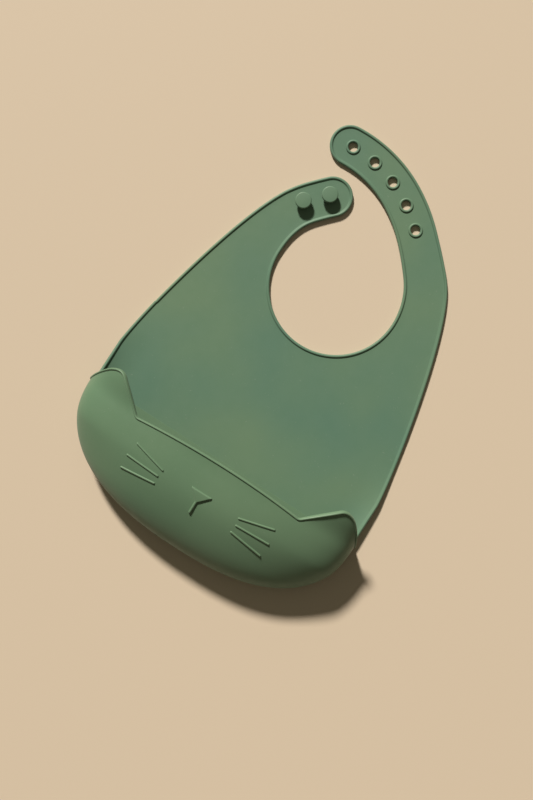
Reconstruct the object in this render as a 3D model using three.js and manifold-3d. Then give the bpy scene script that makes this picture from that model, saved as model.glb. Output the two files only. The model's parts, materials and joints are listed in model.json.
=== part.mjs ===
// Silicone baby bib: a sheet with a raised rim, a scoop pocket with cat ears, a neck strap
// with eyelets and a short tab with two studs. The one moulding is split where it flexes.
// Millimetres. +X to the viewer's right, +Y towards the neck, +Z out of the front face.
// Origin: on the midline of the flat back face, between the neck opening and the pocket.
import * as THREE from 'three';
import { mergeVertices } from 'three/addons/utils/BufferGeometryUtils.js';
import Module from 'manifold-3d';

const wasm = await Module();
wasm.setup();

// ---------------------------------------------------------------- driving dimensions

const SHEET = 2.2; // thickness of the sheet
const RIM_HEIGHT = 3.2; // the sheet's rounded rim, over the back face
const RIM_WIDTH = 2.2;
const SEAM = 0.3; // gap between pieces that never move against each other
const FLEX_GAP = 1.0; // gap across a line where the sheet bends

const NECK_Y = 102.4; // centre of the neck opening
const NECK_RADIUS = 47.4;
const ARM_WIDTH = 32.6; // the sheet on either side of the neck opening
const ARM_RADIUS = NECK_RADIUS + ARM_WIDTH / 2;
const SHOULDER_ANGLE = 30; // where the arm's outer arc becomes the panel's side, in degrees

const HALF_WIDTH = 109.4; // the panel at its widest
const SIDE_END_Y = -13; // where the side has become parallel to the midline
const SIDE_PULL_TOP = 43; // handles of the side's curve
const SIDE_PULL_END = 12;

const CHEST_LINE_Y = 14; // the panel's two bend lines
const COLLAR_LINE_Y = 36;

const STRAP_HALF_WIDTH = 14.5; // the strap's, and the tab's
const STRAP_TAPER = [5, 75]; // stretch over which the right arm narrows to the strap
const TAB_TAPER = [0, 40]; // the same for the left arm and the tab
const STRAP_ARCS = [[ARM_RADIUS, 45.5], [279, 30], [115, 30], [90, 75]]; // [radius, length]
const STRAP_LENGTH = 171.5;
const HOLE_STARTS = 78.5;
const HOLE_PITCH = 19;
const HOLE_COUNT = 5;
const STRAP_ROOT = 34; // first bend line after the shoulder's

const TAB_END_ANGLE = 55.2; // round the neck from the shoulder line to the tab's tip centre
const STUD_RADIUS = 66; // distance of the studs from the neck's centre
const STUD_ANGLES = [36.3, 53.1];
const TAB_LINES = [25, 44.7]; // the tab's bend lines, round the neck

const EYELET_INNER = 3.4;
const EYELET_OUTER = 5.2;
const STUD_ROOT = 4;
const STUD_NECK = 3;
const STUD_HEAD = 5.85;
const STUD_TOP = 8.5;

const POCKET_Y = -45; // line across the panel where the pocket's mouth ends
const POCKET_DROP = 67; // from that line to the pocket's lowest point
const POCKET_POWER = 2.3; // squareness of the pocket's outline
const POCKET_EDGE_Z = 16; // height of the pocket's widest line, round the bottom
const MOUTH_END_Z = 4; // and at the mouth's ends, where it has come down to the panel's edge
const MOUTH_END_REACH = 25; // stretch over which the sides change from the one to the other
const POCKET_TOP_Z = 45.5;
const FRONT_FALL = 0.65; // the front's crown: how late it rolls down towards the outline
const MOUTH_END_FALL = 0.22; // the sides stand up steeper at the mouth's ends
const BACK_FLAT = 0.6; // part of the outline's measure that stays flat on the back
const LIFT_END_Y = 20; // the panel's sides are lifted from here down to the pocket
const SKIN = 2.4;

const LIP_Y = -47.2; // at the notches
const LIP_BOW = 3; // how much further up the lip runs in its middle
const LIP_WIDTH = 2.6;
const LIP_HEIGHT = 3.4;
const LIP_GAP = 0.7;
const NOTCH_X = 64.6;
const EAR_TIP = new THREE.Vector2(90, -24.7);
const EAR_SHOULDER = new THREE.Vector2(103, -32); // handle of the ear's curved outer edge
const EAR_LIFT = 6;
const NOTCH_AT = 0.6; // the notch and the ear's tip, along the half mouth from the midline
const TIP_AT = 0.85;
const SIDE_ANGLE = 22; // part of the pocket's outline that is the front's side, in degrees

const RIB_WIDTH = 1.4; // the face's raised lines
const RIB_HEIGHT = 0.9;

// ---------------------------------------------------------------- materials

const silicone = (name, color, roughness) =>
  new THREE.MeshStandardMaterial({ name, color, roughness, metalness: 0 });

const panelSilicone = silicone('panel', 0x5c7b66, 0.55);
const strapSilicone = silicone('strap', 0x62805f, 0.55);
const pocketSilicone = silicone('pocket', 0x6a8967, 0.5);
const studSilicone = silicone('studs', 0x5a7a5c, 0.45);
const faceSilicone = silicone('face', 0x6f8d6c, 0.5);

// ---------------------------------------------------------------- helpers

const group = new THREE.Group();
const up = new THREE.Vector3(0, 0, 1);
const degrees = THREE.MathUtils.degToRad;
const clamp01 = (value) => Math.min(1, Math.max(0, value));
const smooth = (value) => clamp01(value) ** 2 * (3 - 2 * clamp01(value));
const mix = THREE.MathUtils.lerp;

function addPiece(name, geometry, material) {
  const piece = new THREE.Mesh(geometry, material);
  piece.name = name;
  group.add(piece);
  return piece;
}

function toSolid(geometry) {
  const bare = geometry.clone();
  bare.deleteAttribute('normal');
  bare.deleteAttribute('uv');
  const merged = mergeVertices(bare, 1e-4);
  return new wasm.Manifold(new wasm.Mesh({
    numProp: 3,
    vertProperties: new Float32Array(merged.attributes.position.array),
    triVerts: new Uint32Array(merged.index.array),
  }));
}

function toGeometry(solid) {
  const mesh = solid.getMesh();
  const geometry = new THREE.BufferGeometry();
  geometry.setAttribute('position', new THREE.BufferAttribute(new Float32Array(mesh.vertProperties), 3));
  geometry.setIndex(new THREE.BufferAttribute(new Uint32Array(mesh.triVerts), 1));
  geometry.computeVertexNormals();
  return geometry;
}

// A plate of the given outline, standing on z = bottom.
function plate(points, depth, bottom = 0, holes = []) {
  const shape = new THREE.Shape(points);
  shape.holes = holes.map((hole) => new THREE.Path(hole));
  const geometry = new THREE.ExtrudeGeometry(shape, { depth, bevelEnabled: false });
  return geometry.translate(0, 0, bottom);
}

const evenSteps = (count, from, to) =>
  Array.from({ length: count + 1 }, (_, i) => mix(from, to, i / count));

// A closed body bent out of a box. It has an edge at each station along s and along t, and
// place(s, t, w) puts its points in space, with w 0 on one face and 1 on the other.
function bentBox(stationsS, stationsT, place) {
  const [lastS, lastT] = [stationsS.length - 1, stationsT.length - 1];
  const geometry = new THREE.BoxGeometry(1, 1, 1, lastS, lastT, 1);
  const position = geometry.attributes.position;
  for (let i = 0; i < position.count; i += 1) {
    const s = stationsS[Math.round((position.getX(i) + 0.5) * lastS)];
    const t = stationsT[Math.round((position.getY(i) + 0.5) * lastT)];
    position.setXYZ(i, ...place(s, t, position.getZ(i) + 0.5).toArray());
  }
  return geometry;
}

// ---------------------------------------------------------------- the arms' centreline

// Point and heading after a length of the right arm, from the shoulder line on.
function armPoint(length) {
  const point = new THREE.Vector2(ARM_RADIUS, NECK_Y);
  let heading = Math.PI / 2;
  let left = length;
  for (const [radius, reach] of STRAP_ARCS) {
    const turn = Math.min(left, reach) / radius;
    point.x += radius * (Math.sin(heading + turn) - Math.sin(heading));
    point.y += radius * (Math.cos(heading) - Math.cos(heading + turn));
    heading += turn;
    left -= Math.min(left, reach);
  }
  return { point, heading };
}

// Half the arm's width after a length from the shoulder line on.
function armHalfWidth(length, [from, to]) {
  return mix(ARM_WIDTH / 2, STRAP_HALF_WIDTH, smooth((length - from) / (to - from)));
}

// A point beside the right arm's centreline; side is positive away from the neck.
function besideArm(length, side) {
  const { point, heading } = armPoint(length);
  return new THREE.Vector2(point.x + side * Math.sin(heading), point.y - side * Math.cos(heading));
}

const roundNeck = (radius, angle) =>
  new THREE.Vector2(radius * Math.cos(angle), NECK_Y + radius * Math.sin(angle));
const mirrored = (point) => new THREE.Vector2(-point.x, point.y);

// ---------------------------------------------------------------- the sheet's outline

const SHOULDER_LENGTH = ARM_RADIUS * degrees(SHOULDER_ANGLE);

// The panel's side, from the lower panel up to an arm with the given taper.
function sideCurve(taper) {
  const top = besideArm(SHOULDER_LENGTH, armHalfWidth(SHOULDER_LENGTH, taper));
  const lean = degrees(SHOULDER_ANGLE);
  return new THREE.CubicBezierCurve(
    new THREE.Vector2(HALF_WIDTH, SIDE_END_Y),
    new THREE.Vector2(HALF_WIDTH, SIDE_END_Y + SIDE_PULL_END),
    new THREE.Vector2(top.x + SIDE_PULL_TOP * Math.sin(lean), top.y - SIDE_PULL_TOP * Math.cos(lean)),
    top,
  );
}

const rightSide = sideCurve(STRAP_TAPER);
const leftSide = sideCurve(TAB_TAPER);

// Half width of the panel at a height, up to where the arms begin.
function halfWidthAt(y) {
  if (y <= SIDE_END_Y) return HALF_WIDTH;
  let [low, high] = [0, 1];
  for (let i = 0; i < 24; i += 1) {
    const middle = (low + high) / 2;
    if (rightSide.getPoint(middle).y < y) low = middle;
    else high = middle;
  }
  return rightSide.getPoint(low).x;
}

function roundTip(centre, radius, from, sweep) {
  return evenSteps(10, 0, 1).slice(1, -1).map((part) => new THREE.Vector2(
    centre.x + radius * Math.cos(from + part * sweep),
    centre.y + radius * Math.sin(from + part * sweep),
  ));
}

function sheetOutline() {
  const tipLength = STRAP_LENGTH - STRAP_HALF_WIDTH;
  const tip = armPoint(tipLength);
  const rightEdge = (side, count, from) => evenSteps(count, from, tipLength)
    .map((length) => besideArm(length, side * armHalfWidth(length, STRAP_TAPER)));
  const tabLength = ARM_RADIUS * degrees(TAB_END_ANGLE);
  const tabEnd = Math.PI - degrees(TAB_END_ANGLE);
  const leftEdge = (side, count, from) => evenSteps(count, from, tabLength).map((length) => roundNeck(
    ARM_RADIUS + side * armHalfWidth(length, TAB_TAPER),
    Math.PI - length / ARM_RADIUS,
  ));
  const neckArc = evenSteps(24, 0, -Math.PI).map((angle) => roundNeck(NECK_RADIUS, angle));
  return [
    ...rightSide.getPoints(16),
    ...rightEdge(1, 22, SHOULDER_LENGTH).slice(1),
    ...roundTip(tip.point, STRAP_HALF_WIDTH, tip.heading - Math.PI / 2, Math.PI),
    ...rightEdge(-1, 28, 0).reverse(),
    ...neckArc.slice(1, -1),
    ...leftEdge(-1, 10, 0),
    ...roundTip(roundNeck(ARM_RADIUS, tabEnd), STRAP_HALF_WIDTH, tabEnd - Math.PI, Math.PI),
    ...leftEdge(1, 6, SHOULDER_LENGTH).reverse(),
    ...leftSide.getPoints(16).map(mirrored).reverse().slice(1),
  ];
}

// The outline moved inwards, its corners kept sharp.
function inset(points, distance) {
  const inward = (from, to) => new THREE.Vector2(from.y - to.y, to.x - from.x).normalize();
  return points.map((point, i) => {
    const before = inward(points.at(i - 1), point);
    const after = inward(point, points[(i + 1) % points.length]);
    const reach = distance / (1 + before.dot(after));
    return point.clone().addScaledVector(before.add(after), reach);
  });
}

function makeSheet() {
  const outline = sheetOutline();
  const floor = toSolid(plate(outline, SHEET));
  const rim = toSolid(plate(outline, RIM_HEIGHT, 0, [inset(outline, RIM_WIDTH)]));
  return floor.add(rim);
}

// ---------------------------------------------------------------- pieces of the flat sheet

const CUT_REACH = 6; // how far a cutting block stands past the sheet, all round

const block = (points) => toSolid(plate(points, RIM_HEIGHT + 2 * CUT_REACH, -CUT_REACH));

function drill(points, radius) {
  const circle = new THREE.CylinderGeometry(radius, radius, 4 * RIM_HEIGHT, 28);
  circle.rotateX(Math.PI / 2).translate(points.x, points.y, 0);
  return toSolid(circle);
}

function panelStrip(sheet, from, to) {
  const reach = HALF_WIDTH + CUT_REACH;
  return sheet.intersect(block([
    new THREE.Vector2(-reach, from + FLEX_GAP / 2),
    new THREE.Vector2(reach, from + FLEX_GAP / 2),
    new THREE.Vector2(reach, to - FLEX_GAP / 2),
    new THREE.Vector2(-reach, to - FLEX_GAP / 2),
  ]));
}

// The block that holds one stretch of the right arm, between two bend lines.
function armBlock(from, to, side) {
  const start = from + FLEX_GAP / 2;
  const end = to - FLEX_GAP / 2;
  return [
    besideArm(start, -side), besideArm(start, side),
    besideArm((start + end) / 2, side + 1), besideArm(end, side),
    besideArm(end, -side), besideArm((start + end) / 2, -side),
  ];
}

// The same for the left arm, its bend lines given in degrees round the neck.
function tabBlock(from, to, outer) {
  const gap = FLEX_GAP / 2 / ARM_RADIUS;
  const angles = [Math.PI - degrees(from) - gap, Math.PI - degrees(to) + gap];
  const middle = (angles[0] + angles[1]) / 2;
  const inner = NECK_RADIUS - CUT_REACH;
  return [
    roundNeck(inner, angles[0]), roundNeck(inner, middle), roundNeck(inner, angles[1]),
    roundNeck(outer, angles[1]), roundNeck(outer, middle), roundNeck(outer, angles[0]),
  ].reverse();
}

const holeLength = (index) => HOLE_STARTS + index * HOLE_PITCH;
const strapLines = [
  0, STRAP_ROOT,
  ...evenSteps(HOLE_COUNT - 1, 0, HOLE_COUNT - 1).map((i) => holeLength(i) - HOLE_PITCH / 2),
  STRAP_LENGTH + 2 * FLEX_GAP,
];
const studPoint = (index) => roundNeck(STUD_RADIUS, Math.PI - degrees(STUD_ANGLES[index]));

function addFlatSheet() {
  const sheet = makeSheet();
  addPiece('chest_panel', toGeometry(panelStrip(sheet, CHEST_LINE_Y, COLLAR_LINE_Y)), panelSilicone);
  addPiece('collar', toGeometry(panelStrip(sheet, COLLAR_LINE_Y, NECK_Y)), panelSilicone);

  const strapNames = ['shoulder_right', 'strap_root',
    ...evenSteps(HOLE_COUNT - 1, 1, HOLE_COUNT).map((i) => `strap_hole_${i}`)];
  strapNames.forEach((name, i) => {
    const side = i > 1 ? ARM_WIDTH / 2 + CUT_REACH : ARM_WIDTH;
    let piece = sheet.intersect(block(armBlock(strapLines[i], strapLines[i + 1], side)));
    if (i > 1) piece = piece.subtract(drill(armPoint(holeLength(i - 2)).point, EYELET_OUTER + SEAM));
    addPiece(name, toGeometry(piece), strapSilicone);
  });

  const tabEnds = [0, ...TAB_LINES, TAB_END_ANGLE + 15];
  ['shoulder_left', 'tab_inner', 'tab_outer'].forEach((name, i) => {
    const outer = ARM_RADIUS + (i > 0 ? STRAP_HALF_WIDTH + FLEX_GAP : ARM_WIDTH);
    let piece = sheet.intersect(block(tabBlock(tabEnds[i], tabEnds[i + 1], outer)));
    if (i > 0) piece = piece.subtract(drill(studPoint(i - 1), STUD_ROOT + SEAM));
    addPiece(name, toGeometry(piece), strapSilicone);
  });
}

// ---------------------------------------------------------------- eyelets and studs

const turned = (profile, segments) =>
  new THREE.LatheGeometry(profile.map(([r, z]) => new THREE.Vector2(r, z)), segments).rotateX(Math.PI / 2);

function addEyelets() {
  const chamfer = 0.6;
  const profile = [
    [EYELET_INNER, 0], [EYELET_OUTER, 0], [EYELET_OUTER, RIM_HEIGHT - chamfer],
    [EYELET_OUTER - chamfer, RIM_HEIGHT], [EYELET_INNER + chamfer, RIM_HEIGHT],
    [EYELET_INNER, RIM_HEIGHT - chamfer], [EYELET_INNER, 0],
  ];
  for (let i = 0; i < HOLE_COUNT; i += 1) {
    const { point } = armPoint(holeLength(i));
    addPiece(`eyelet_${i + 1}`, turned(profile, 24), strapSilicone).position.set(point.x, point.y, 0);
  }
}

function addStuds() {
  const headZ = 5.6;
  const round = 1;
  const profile = [
    [0, 0], [STUD_ROOT, 0], [STUD_ROOT, SHEET], [STUD_NECK, SHEET + round], [STUD_NECK, headZ - round],
    [STUD_HEAD - round / 2, headZ], [STUD_HEAD, headZ + round / 2], [STUD_HEAD, STUD_TOP - round],
    [STUD_HEAD - round, STUD_TOP], [0, STUD_TOP],
  ];
  ['stud_inner', 'stud_outer'].forEach((name, i) => {
    addPiece(name, turned(profile, 24), studSilicone).position.set(studPoint(i).x, studPoint(i).y, 0);
  });
}

// ---------------------------------------------------------------- the pocket's surfaces

// 0 on the pocket's middle, 1 on its widest line; above the mouth only the sides count.
function outlineMeasure(x, y) {
  const across = Math.abs(x) / halfWidthAt(y);
  const down = Math.max(0, POCKET_Y - y) / POCKET_DROP;
  return across ** POCKET_POWER + down ** POCKET_POWER;
}

// 0 at the mouth's ends and above, 1 where the pocket has its full roundness.
const belowMouth = (y) => smooth((POCKET_Y - y) / MOUTH_END_REACH);

// Height of the pocket's widest line.
const edgeHeight = (y) => mix(MOUTH_END_Z, POCKET_EDGE_Z, belowMouth(y));

// Height of the sheet's back face: flat, rolling up towards the edges of the lower panel.
function backHeight(x, y) {
  const fade = smooth((LIFT_END_Y - y) / (LIFT_END_Y - POCKET_Y));
  const part = clamp01((outlineMeasure(x, y) - BACK_FLAT) / (1 - BACK_FLAT));
  return edgeHeight(y) * fade * (1 - (1 - part ** 2) ** mix(1, 0.5, belowMouth(y)));
}

// Height of the pocket's front over the plan, crowned, with the ears turned up.
function frontHeight(x, y) {
  const measure = clamp01(outlineMeasure(x, y));
  const fall = mix(MOUTH_END_FALL, FRONT_FALL, belowMouth(y));
  const crown = (1 - measure) ** fall;
  const ear = smooth((y - LIP_Y) / (EAR_TIP.y - LIP_Y));
  return mix(edgeHeight(y), POCKET_TOP_Z, crown) + EAR_LIFT * ear * crown;
}

const surfacePoint = (height, x, y) => new THREE.Vector3(x, y, height(x, y));

function surfaceNormal(height, x, y) {
  const step = 0.2;
  const slopeX = (height(x + step, y) - height(x - step, y)) / (2 * step);
  const slopeY = (height(x, y + step) - height(x, y - step)) / (2 * step);
  return new THREE.Vector3(-slopeX, -slopeY, 1).normalize();
}

// Point of the pocket's outline, from the right mouth end (0) round the bottom to the left (pi).
function pocketOutline(angle, scale = 1) {
  const bend = (value) => Math.sign(value) * Math.abs(value) ** (2 / POCKET_POWER);
  return new THREE.Vector2(
    scale * HALF_WIDTH * bend(Math.cos(angle)),
    POCKET_Y - scale * POCKET_DROP * bend(Math.sin(angle)),
  );
}

const earOuterEdge = new THREE.QuadraticBezierCurve(
  EAR_TIP,
  EAR_SHOULDER,
  new THREE.Vector2(HALF_WIDTH, POCKET_Y),
);

// Point of the mouth's edge: lip, notch, ear and mouth end, from -1 (left) to 1 (right).
function mouthEdge(along) {
  const part = Math.abs(along);
  const notch = new THREE.Vector2(NOTCH_X, LIP_Y);
  const point = new THREE.Vector2();
  if (part < NOTCH_AT) point.set(NOTCH_X * part / NOTCH_AT, LIP_Y + LIP_BOW * (1 - (part / NOTCH_AT) ** 2));
  else if (part < TIP_AT) point.lerpVectors(notch, EAR_TIP, (part - NOTCH_AT) / (TIP_AT - NOTCH_AT));
  else earOuterEdge.getPoint((part - TIP_AT) / (1 - TIP_AT), point);
  return along < 0 ? mirrored(point) : point;
}

// Point of the front's plan, s from -1 (left) to 1 (right), t from the outline (0) to the mouth (1).
function frontPlan(s, t) {
  const side = degrees(SIDE_ANGLE);
  const part = Math.abs(s);
  const base = pocketOutline(mix(Math.PI / 2, side, part));
  const straightSide = pocketOutline(side).lerp(mouthEdge(1), t);
  const bow = pocketOutline(side * (1 - t)).sub(straightSide);
  const point = base.lerp(mouthEdge(part), t).addScaledVector(bow, part ** 4);
  return s < 0 ? mirrored(point) : point;
}

// ---------------------------------------------------------------- pieces of the lower panel

function addLapPanel() {
  const rimPart = 1 - RIM_WIDTH / HALF_WIDTH;
  const half = [0.76, 0.84, 0.9, 0.94, rimPart - 0.005, rimPart, 1];
  const across = [...half.map((part) => -part).reverse(), 0, ...half];
  const along = evenSteps(8, POCKET_Y + 2 * SEAM, CHEST_LINE_Y - FLEX_GAP / 2);
  const geometry = bentBox(across, along, (part, y, w) => {
    const x = part * halfWidthAt(y);
    const thickness = Math.abs(part) < rimPart ? SHEET : RIM_HEIGHT;
    return new THREE.Vector3(x, y, backHeight(x, y) + w * thickness);
  });
  addPiece('lap_panel', geometry, panelSilicone);
}

function addPocketBack() {
  const scale = BACK_FLAT ** (1 / POCKET_POWER);
  const outline = evenSteps(24, 0, Math.PI).map((angle) => pocketOutline(angle, scale));
  addPiece('pocket_back', plate(outline.reverse(), SHEET), panelSilicone);
}

// A stretch of the roll between the flat back and the pocket's widest line.
function addPocketRoll(name, from, to, count) {
  const innerScale = BACK_FLAT ** (1 / POCKET_POWER) + 0.006;
  const gap = 0.25;
  const angles = evenSteps(count, from + gap, to - gap);
  const scales = evenSteps(5, 0, 1).map((part) => mix(innerScale, 1, 1 - (1 - part) ** 2));
  const geometry = bentBox(angles, scales, (angle, scale, w) => {
    const plan = pocketOutline(degrees(angle), scale);
    const normal = surfaceNormal(backHeight, plan.x, plan.y);
    return surfacePoint(backHeight, plan.x, plan.y).addScaledVector(normal, w * SHEET);
  });
  addPiece(name, geometry, pocketSilicone);
}

// ---------------------------------------------------------------- pieces of the pocket's front

const FRONT_LIFT = 1.2; // the front starts this far above the roll, so that it can swing
const MOUTH_END_LIFT = 2.6; // and this far at the mouth's ends, where the roll lies flatter

function frontPoint(plan, depth) {
  const normal = surfaceNormal(frontHeight, plan.x, plan.y);
  const atMouthEnd = (1 - belowMouth(plan.y)) * clamp01(outlineMeasure(plan.x, plan.y)) ** 4;
  return surfacePoint(frontHeight, plan.x, plan.y)
    .addScaledVector(normal, -depth)
    .addScaledVector(up, mix(FRONT_LIFT, MOUTH_END_LIFT, atMouthEnd));
}

// The front's plan point that lies a number of millimetres inside the mouth's edge.
function insideMouth(s, distance) {
  const reach = frontPlan(s, 0).distanceTo(frontPlan(s, 1));
  return 1 - distance / reach;
}

const halfMouth = [
  ...evenSteps(12, 0, NOTCH_AT),
  ...evenSteps(4, NOTCH_AT, TIP_AT).slice(1),
  ...evenSteps(4, TIP_AT, 1).slice(1),
];

function addFrontSkin(name, stations) {
  const rows = evenSteps(8, 0, 1).map((part) => part ** 1.6);
  const geometry = bentBox(stations, rows, (s, row, w) => {
    const t = row * insideMouth(s, LIP_WIDTH + LIP_GAP);
    return frontPoint(frontPlan(s, t), SKIN * (1 - w));
  });
  addPiece(name, geometry, pocketSilicone);
}

function addFront() {
  const gap = 0.003;
  const middle = halfMouth.filter((s) => s < NOTCH_AT);
  const corner = [NOTCH_AT + gap, ...halfMouth.filter((s) => s > NOTCH_AT)];
  const mirror = (stations) => stations.map((s) => -s).reverse();
  const right = [...middle, NOTCH_AT - gap];
  addFrontSkin('pocket_front', [...mirror(right).slice(0, -1), ...right]);
  addFrontSkin('ear_right', corner);
  addFrontSkin('ear_left', mirror(corner));
}

function addLip() {
  const stations = [...halfMouth.map((s) => -s).reverse().slice(0, -1), ...halfMouth];
  const geometry = bentBox(stations, [0, 1], (s, t, w) => {
    const plan = frontPlan(s, mix(insideMouth(s, LIP_WIDTH), 1, t));
    return frontPoint(plan, SKIN / 2 + LIP_HEIGHT * (0.5 - w));
  });
  addPiece('pocket_lip', geometry, pocketSilicone);
}

// ---------------------------------------------------------------- the raised face

// A raised line on the front, from one plan point to another.
function ribGeometry(from, to) {
  const quarter = Math.PI / 2;
  const side = to.clone().sub(from).rotateAround(new THREE.Vector2(), quarter).setLength(RIB_WIDTH / 2);
  return bentBox(evenSteps(5, 0, 1), [-1, 1], (s, t, w) => {
    const plan = from.clone().lerp(to, s).addScaledVector(side, t);
    return frontPoint(plan, -SEAM - w * RIB_HEIGHT);
  });
}

function addWhiskers() {
  const whiskers = [[[29.5, -67.5], [55, -61]], [[30.5, -72.5], [57, -71.5]], [[30, -78], [56.5, -81.5]]];
  whiskers.forEach(([inner, outer], i) => {
    const from = new THREE.Vector2(...inner);
    const to = new THREE.Vector2(...outer);
    addPiece(`whisker_right_${i + 1}`, ribGeometry(from, to), faceSilicone);
    addPiece(`whisker_left_${i + 1}`, ribGeometry(mirrored(to), mirrored(from)), faceSilicone);
  });
}

// A low triangle with its stem, point down, as one raised patch.
function addNose() {
  const topY = -65.5;
  const pointY = -73;
  const stemY = -82.5;
  const halfTop = 8.3;
  const halfStem = 1;
  const rows = [...evenSteps(3, stemY, pointY), ...evenSteps(4, pointY, topY).slice(1)];
  const geometry = bentBox(evenSteps(4, -1, 1), rows, (part, y, w) => {
    const half = mix(halfStem, halfTop, clamp01((y - pointY) / (topY - pointY)));
    return frontPoint(new THREE.Vector2(part * half, y), -SEAM - w * RIB_HEIGHT);
  });
  addPiece('nose', geometry, faceSilicone);
}

// ---------------------------------------------------------------- the bib

addFlatSheet();
addEyelets();
addStuds();
addLapPanel();
addPocketBack();
addPocketRoll('pocket_side_right', 1, 38, 8);
addPocketRoll('pocket_bottom', 38, 142, 20);
addPocketRoll('pocket_side_left', 142, 179, 8);
addFront();
addLip();
addWhiskers();
addNose();

export default group;
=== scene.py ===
"""Looks of a silicone baby bib: a sheet with a rolled rim, a scoop pocket with ears, a neck strap.

Everything is in metres in the CAD frame: +X to the right, +Y towards the neck, +Z out of the front.
The one moulding is cut halfway between its bend lines, so each part reaches across a single joint.
"""

import json
import math

import bmesh
import bpy
import numpy as np
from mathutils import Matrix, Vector
from mathutils.geometry import delaunay_2d_cdt


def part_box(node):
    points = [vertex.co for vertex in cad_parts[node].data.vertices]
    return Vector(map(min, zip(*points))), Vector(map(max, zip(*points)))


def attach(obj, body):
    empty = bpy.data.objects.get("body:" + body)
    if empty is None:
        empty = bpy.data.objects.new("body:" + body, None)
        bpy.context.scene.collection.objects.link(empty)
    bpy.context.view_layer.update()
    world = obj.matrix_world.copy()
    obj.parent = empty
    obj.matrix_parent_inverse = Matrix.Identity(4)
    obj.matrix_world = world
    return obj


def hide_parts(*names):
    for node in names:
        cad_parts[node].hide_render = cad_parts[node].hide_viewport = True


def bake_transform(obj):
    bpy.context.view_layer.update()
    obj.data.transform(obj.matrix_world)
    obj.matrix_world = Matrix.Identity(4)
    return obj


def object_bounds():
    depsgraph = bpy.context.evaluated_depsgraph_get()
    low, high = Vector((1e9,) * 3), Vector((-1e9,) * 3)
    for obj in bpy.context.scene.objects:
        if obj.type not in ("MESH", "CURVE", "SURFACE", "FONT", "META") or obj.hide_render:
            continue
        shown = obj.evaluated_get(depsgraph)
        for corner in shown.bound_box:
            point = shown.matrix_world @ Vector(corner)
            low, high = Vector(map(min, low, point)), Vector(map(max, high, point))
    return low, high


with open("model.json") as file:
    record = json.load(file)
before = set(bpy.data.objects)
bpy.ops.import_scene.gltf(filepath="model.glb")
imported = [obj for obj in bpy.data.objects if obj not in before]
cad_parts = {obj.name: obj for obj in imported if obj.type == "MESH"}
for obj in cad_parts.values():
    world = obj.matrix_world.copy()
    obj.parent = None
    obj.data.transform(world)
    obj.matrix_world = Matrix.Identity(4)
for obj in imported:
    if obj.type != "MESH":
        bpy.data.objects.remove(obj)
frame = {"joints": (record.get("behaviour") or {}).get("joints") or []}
cad_low, cad_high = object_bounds()
joints = {joint["name"]: joint for joint in frame["joints"]}

# ------------------------------------------------------------------ dimensions

MM = 0.001


def pivot(joint):
    return Vector(joints[joint]["pos_m"])


def centre(node):
    low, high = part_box(node)
    return (low + high) / 2


SHEET = 2.2 * MM  # thickness of the sheet
RIM_WIDTH = 2.2 * MM  # of the rolled rim all round the sheet
RIM_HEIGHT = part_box("collar")[1].z
RIM_FILLET = 0.8 * MM  # where the rim runs out into the sheet
RIM_FOOT = 14  # degrees round the rim's roll at which its fillet begins
EDGE_ROUND = 0.6 * MM  # the rim's lower edge
FILL_SPACING = 3.2 * MM  # between the vertices that are spread over the flat sheet

NECK_Y = pivot("strap_curl_1").y
ARM_RADIUS = pivot("strap_curl_1").x  # centreline of the arms round the neck opening
ARM_WIDTH = 32.6 * MM
NECK_RADIUS = ARM_RADIUS - ARM_WIDTH / 2
SHOULDER_ANGLE = math.radians(30)
SHOULDER_LENGTH = ARM_RADIUS * SHOULDER_ANGLE  # along the arm, from the shoulder line on

HALF_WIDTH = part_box("lap_panel")[1].x
SIDE_END_Y = -13 * MM  # the panel has its full width from here down
SIDE_PULL_TOP = 43 * MM  # handle of the side's curve at the shoulder
SIDE_PULL_END = 12 * MM  # and at its lower end

STRAP_HALF_WIDTH = 14.5 * MM  # the strap's, and the tab's
STRAP_TAPER = (5 * MM, 75 * MM)  # stretch over which the right arm narrows to the strap
TAB_TAPER = (0, 40 * MM)
# the right arm's centreline, as arcs of (radius, length)
STRAP_ARCS = ((ARM_RADIUS, 45.5 * MM), (279 * MM, 30 * MM), (115 * MM, 30 * MM), (90 * MM, 75 * MM))
STRAP_TIP = 157 * MM  # length of the strap's centreline up to the centre of its round tip
HOLE_STARTS = 78.5 * MM  # length up to the first hole
HOLE_PITCH = 19 * MM
HOLE_COUNT = 5
HOLE_RADIUS = 4.3 * MM  # the sheet's hole, under the eyelet
EYELET_INNER = 3.4 * MM
EYELET_OUTER = 5.25 * MM
EYELET_CHAMFER = 0.4 * MM
EYELET_SKIRT = 0.3 * MM  # how deep its outer edge is sunk in the sheet
EYELET_FOOT = 0.6 * MM  # and the step where it enters the hole
STUD_NECK = 3 * MM
STUD_HEAD_Z = 5.5 * MM  # underside of the head
STUD_ROUND = 0.8 * MM  # rounding of the head's edges
STUD_CROWN = 0.05 * MM  # how much the head's top swells
# curves of the neck into the sheet and into the head, in mm out from the neck and up from either
STUD_FOOT = ((1.2, 0), (0.5, 0.4), (0.1, 1.1), (0, 2))
STUD_COLLAR = ((0.2, -0.5), (1.2, -0.1))
TAB_TIP = ARM_RADIUS * math.radians(55.2)

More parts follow.
